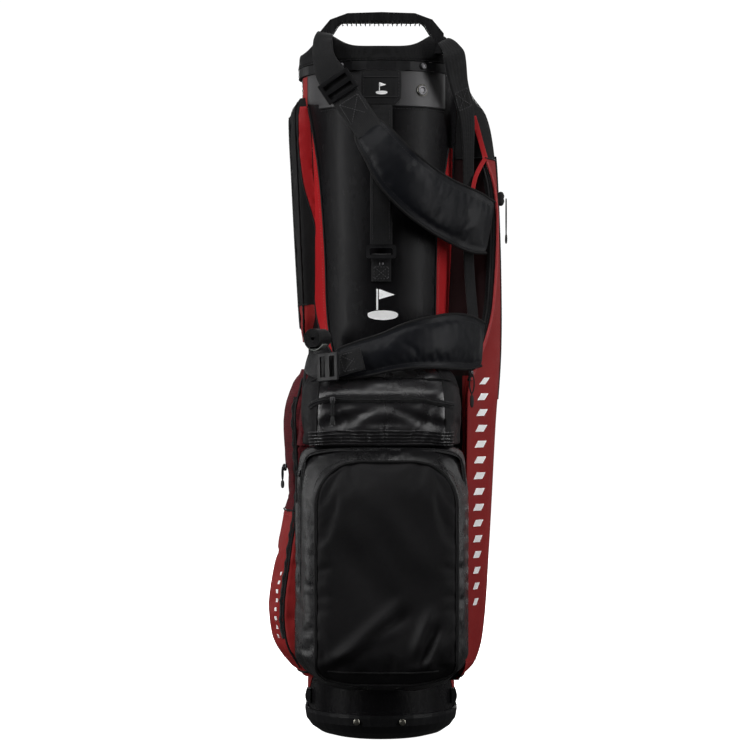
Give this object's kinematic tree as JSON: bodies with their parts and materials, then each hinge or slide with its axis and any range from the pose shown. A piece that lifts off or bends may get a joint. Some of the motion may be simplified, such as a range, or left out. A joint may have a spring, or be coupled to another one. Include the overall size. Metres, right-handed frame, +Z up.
{
  "type": "golf stand bag",
  "caption": "Stand bag with a divided round barrel, side and front zip pockets, padded dual strap, lift handle and folding legs worked by a hinged base flap.",
  "frame": {"origin": "centre of the flat underside of the base boot, on the floor", "axes": "+Z up along the barrel, -Y towards the strap side, +X to the right seen from the strap side"},
  "size_m": [0.3054, 0.3131, 0.92],
  "materials": {
    "black_plastic": "moulded black, fine satin grain",
    "gloss_plastic": "glossy black moulding",
    "barrel_fabric": "coated black fabric with a soft sheen",
    "red_fabric": "red woven polyester",
    "black_fabric": "black woven polyester",
    "mesh_fabric": "dark red open mesh",
    "pad_fabric": "black satin padded cloth",
    "webbing": "black ribbed webbing",
    "steel": "plated steel",
    "leg_aluminium": "black anodised tube",
    "rubber": "matte black rubber"
  },
  "bodies": {
    "bag": {"accessory_pocket": "black_fabric", "ball_pocket": "black_fabric", "barrel_shell": "barrel_fabric", "base_boot": "black_plastic", "base_rivet_left": "steel", "base_rivet_right": "steel", "cuff_collar": "black_fabric", "cuff_screw_left": "steel", "cuff_screw_right": "steel", "divider_curtain": "black_fabric", "divider_frame": "black_plastic", "flap_pin": "steel", "grab_handle_grip": "pad_fabric", "grab_handle_loop": "black_plastic", "grab_handle_tab": "webbing", "grab_tab_rivet": "steel", "hip_pad": "pad_fabric", "left_lower_pocket": "red_fabric", "left_upper_pocket": "black_fabric", "leg_bracket": "black_plastic", "leg_pin_left": "steel", "leg_pin_right": "steel", "lift_handle": "gloss_plastic", "lower_shoulder_pad": "pad_fabric", "lower_webbing": "webbing", "mesh_gusset": "mesh_fabric", "press_stud": "steel", "right_pocket": "red_fabric", "right_webbing": "webbing", "rubber_patch": "rubber", "stay_rod_left": "black_plastic", "stay_rod_right": "black_plastic", "strap_roll": "webbing", "top_cuff": "black_plastic", "upper_shoulder_pad": "pad_fabric", "upper_webbing": "webbing"},
    "leg_right": {"leg_head_right": "black_plastic", "leg_tube_right": "leg_aluminium", "leg_foot_right": "rubber", "rod_clip_right": "black_plastic"},
    "leg_left": {"leg_head_left": "black_plastic", "leg_tube_left": "leg_aluminium", "leg_foot_left": "rubber", "rod_clip_left": "black_plastic"},
    "rod_right": {"rod_right": "steel"},
    "rod_left": {"rod_left": "steel"},
    "yoke": {"rod_yoke": "black_plastic"},
    "flap": {"base_flap": "black_plastic"},
    "upper_triglide": {"upper_triglide": "black_plastic"},
    "lower_triglide": {"lower_triglide": "black_plastic"},
    "ball_slider": {"ball_zip_slider": "steel"},
    "ball_pull": {"ball_zip_pull": "black_plastic"},
    "accessory_slider": {"accessory_zip_slider": "steel"},
    "accessory_pull": {"accessory_zip_pull": "black_plastic"},
    "right_slider": {"right_zip_slider": "steel"},
    "right_pull": {"right_zip_pull": "black_plastic"},
    "left_slider": {"left_zip_slider": "steel"},
    "left_pull": {"left_zip_pull": "black_plastic"},
    "side_slider": {"side_zip_slider": "steel"},
    "side_pull": {"side_zip_pull": "black_plastic"}
  },
  "joints": [
    {"name": "leg_right_hinge", "type": "hinge", "parent": "bag", "child": "leg_right", "pos_m": [0.066, 0.106, 0.775], "axis": [0.866, -0.5, 0], "range_deg": [0, 31], "stiffness_Nm_per_rad": 1.2, "springref_deg": -11.46},
    {"name": "leg_left_hinge", "type": "hinge", "parent": "bag", "child": "leg_left", "pos_m": [-0.066, 0.106, 0.775], "axis": [0.866, 0.5, 0], "range_deg": [0, 31.2]},
    {"name": "rod_right_hinge", "type": "hinge", "parent": "leg_right", "child": "rod_right", "pos_m": [0.04868, 0.116, 0.65], "axis": [0.866, -0.5, 0], "range_deg": [-37.4, 0]},
    {"name": "rod_left_hinge", "type": "hinge", "parent": "leg_left", "child": "rod_left", "pos_m": [-0.04868, 0.116, 0.65], "axis": [0.866, 0.5, 0], "range_deg": [-37.4, 0]},
    {"name": "yoke_slide", "type": "slide", "parent": "bag", "child": "yoke", "axis": [0, 0, 1], "range_m": [0, 0.0216]},
    {"name": "flap_hinge", "type": "hinge", "parent": "bag", "child": "flap", "pos_m": [0, 0.03, 0.0085], "axis": [1, 0, 0], "range_deg": [0, 15.2]},
    {"name": "ball_zip_slide", "type": "slide", "parent": "bag", "child": "ball_slider", "axis": [0, 0, -1], "range_m": [0, 0.12]},
    {"name": "ball_pull_swing", "type": "hinge", "parent": "ball_slider", "child": "ball_pull", "pos_m": [-0.10584, -0.12874, 0.34], "axis": [-0.2707, 0.9626, 0], "range_deg": [0, 100]},
    {"name": "accessory_zip_slide", "type": "slide", "parent": "bag", "child": "accessory_slider", "axis": [1, 0, 0], "range_m": [0, 0.1]},
    {"name": "accessory_pull_swing", "type": "hinge", "parent": "accessory_slider", "child": "accessory_pull", "pos_m": [-0.06, -0.1682, 0.431], "axis": [-1, 0, 0], "range_deg": [0, 100]},
    {"name": "right_zip_slide", "type": "slide", "parent": "bag", "child": "right_slider", "axis": [0, 0, -1], "range_m": [0, 0.2]},
    {"name": "right_pull_swing", "type": "hinge", "parent": "right_slider", "child": "right_pull", "pos_m": [0.11405, -0.09707, 0.464], "axis": [-0.9684, -0.2496, 0], "range_deg": [0, 100]},
    {"name": "left_zip_slide", "type": "slide", "parent": "bag", "child": "left_slider", "axis": [0, 0, -1], "range_m": [0, 0.05]},
    {"name": "left_pull_swing", "type": "hinge", "parent": "left_slider", "child": "left_pull", "pos_m": [-0.12545, -0.06099, 0.345], "axis": [-0.7121, 0.7021, 0], "range_deg": [0, 100]},
    {"name": "side_zip_slide", "type": "slide", "parent": "bag", "child": "side_slider", "axis": [0, 0, 1], "range_m": [0, 0.04]},
    {"name": "side_pull_swing", "type": "hinge", "parent": "side_slider", "child": "side_pull", "pos_m": [0.1631, 0.012, 0.692], "axis": [0, -1, 0], "range_deg": [0, 100]},
    {"name": "upper_triglide_slide", "type": "slide", "parent": "bag", "child": "upper_triglide", "axis": [-0.5524, 0, 0.8336], "range_m": [0, 0.02]},
    {"name": "lower_triglide_slide", "type": "slide", "parent": "bag", "child": "lower_triglide", "axis": [-0.8729, 0.4801, -0.0873], "range_m": [0, 0.015]}
  ],
  "couplings": [
    {"joint": "leg_left_hinge", "follows": "leg_right_hinge", "ratio": 1},
    {"joint": "rod_right_hinge", "follows": "leg_right_hinge", "ratio": -1.1987},
    {"joint": "rod_left_hinge", "follows": "leg_right_hinge", "ratio": -1.1987},
    {"joint": "yoke_slide", "follows": "leg_right_hinge", "m_per_rad": 0.0394},
    {"joint": "flap_hinge", "follows": "leg_right_hinge", "ratio": 0.48387}
  ]
}
